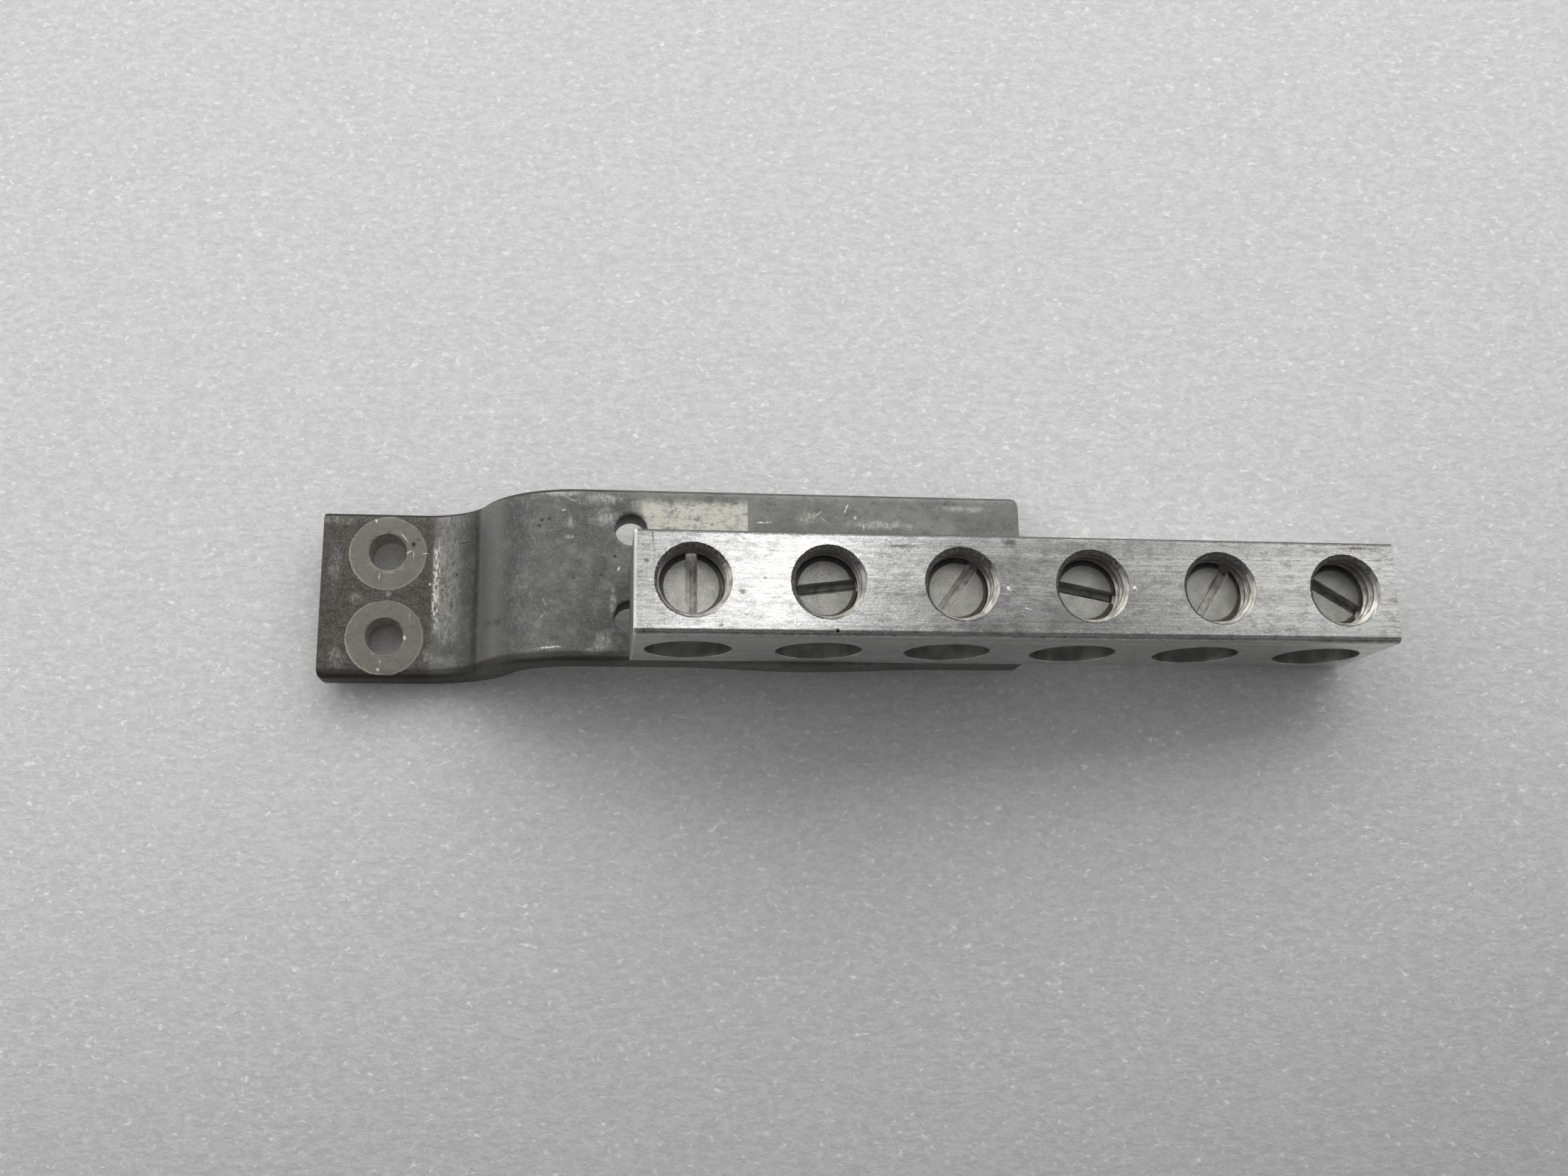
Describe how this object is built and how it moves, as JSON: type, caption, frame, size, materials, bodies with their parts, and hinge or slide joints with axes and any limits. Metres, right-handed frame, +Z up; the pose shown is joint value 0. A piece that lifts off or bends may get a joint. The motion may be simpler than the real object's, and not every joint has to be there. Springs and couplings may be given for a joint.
{
  "type": "earth terminal bar",
  "caption": "Extruded aluminium earthing bar with a row of wire ports and slotted set screws, on an offset bolt-down steel strap.",
  "frame": {"origin": "midway between the foot's two bolt holes, on the underside of the foot", "axes": "+X along the bar, from the foot to the bar's free end; +Y across the strap, away from the edge that the bar is flush with; +Z up, out of the surface that the foot is bolted to"},
  "size_m": [0.1863, 0.032, 0.0498],
  "materials": {
    "plated_steel": "dull, mottled, rubbed at the bends",
    "bar_aluminium": "bright, as extruded, with fine die lines and specks",
    "screw_steel": "dull light grey, finely speckled"
  },
  "bodies": {
    "bar_on_strap": {"offset_strap": "plated_steel", "terminal_bar": "bar_aluminium", "bar_screw_1": "screw_steel", "bar_screw_2": "screw_steel"},
    "screw_1": {"set_screw_1": "screw_steel"},
    "screw_2": {"set_screw_2": "screw_steel"},
    "screw_3": {"set_screw_3": "screw_steel"},
    "screw_4": {"set_screw_4": "screw_steel"},
    "screw_5": {"set_screw_5": "screw_steel"},
    "screw_6": {"set_screw_6": "screw_steel"}
  },
  "joints": [
    {"name": "set_screw_1_travel", "type": "slide", "parent": "bar_on_strap", "child": "screw_1", "axis": [0, 0, 1], "range_m": [-0.00195, 0.00977]},
    {"name": "set_screw_2_travel", "type": "slide", "parent": "bar_on_strap", "child": "screw_2", "axis": [0, 0, 1], "range_m": [-0.00195, 0.00977]},
    {"name": "set_screw_3_travel", "type": "slide", "parent": "bar_on_strap", "child": "screw_3", "axis": [0, 0, 1], "range_m": [-0.00195, 0.00977]},
    {"name": "set_screw_4_travel", "type": "slide", "parent": "bar_on_strap", "child": "screw_4", "axis": [0, 0, 1], "range_m": [-0.00195, 0.00977]},
    {"name": "set_screw_5_travel", "type": "slide", "parent": "bar_on_strap", "child": "screw_5", "axis": [0, 0, 1], "range_m": [-0.00195, 0.00977]},
    {"name": "set_screw_6_travel", "type": "slide", "parent": "bar_on_strap", "child": "screw_6", "axis": [0, 0, 1], "range_m": [-0.00195, 0.00977]}
  ]
}
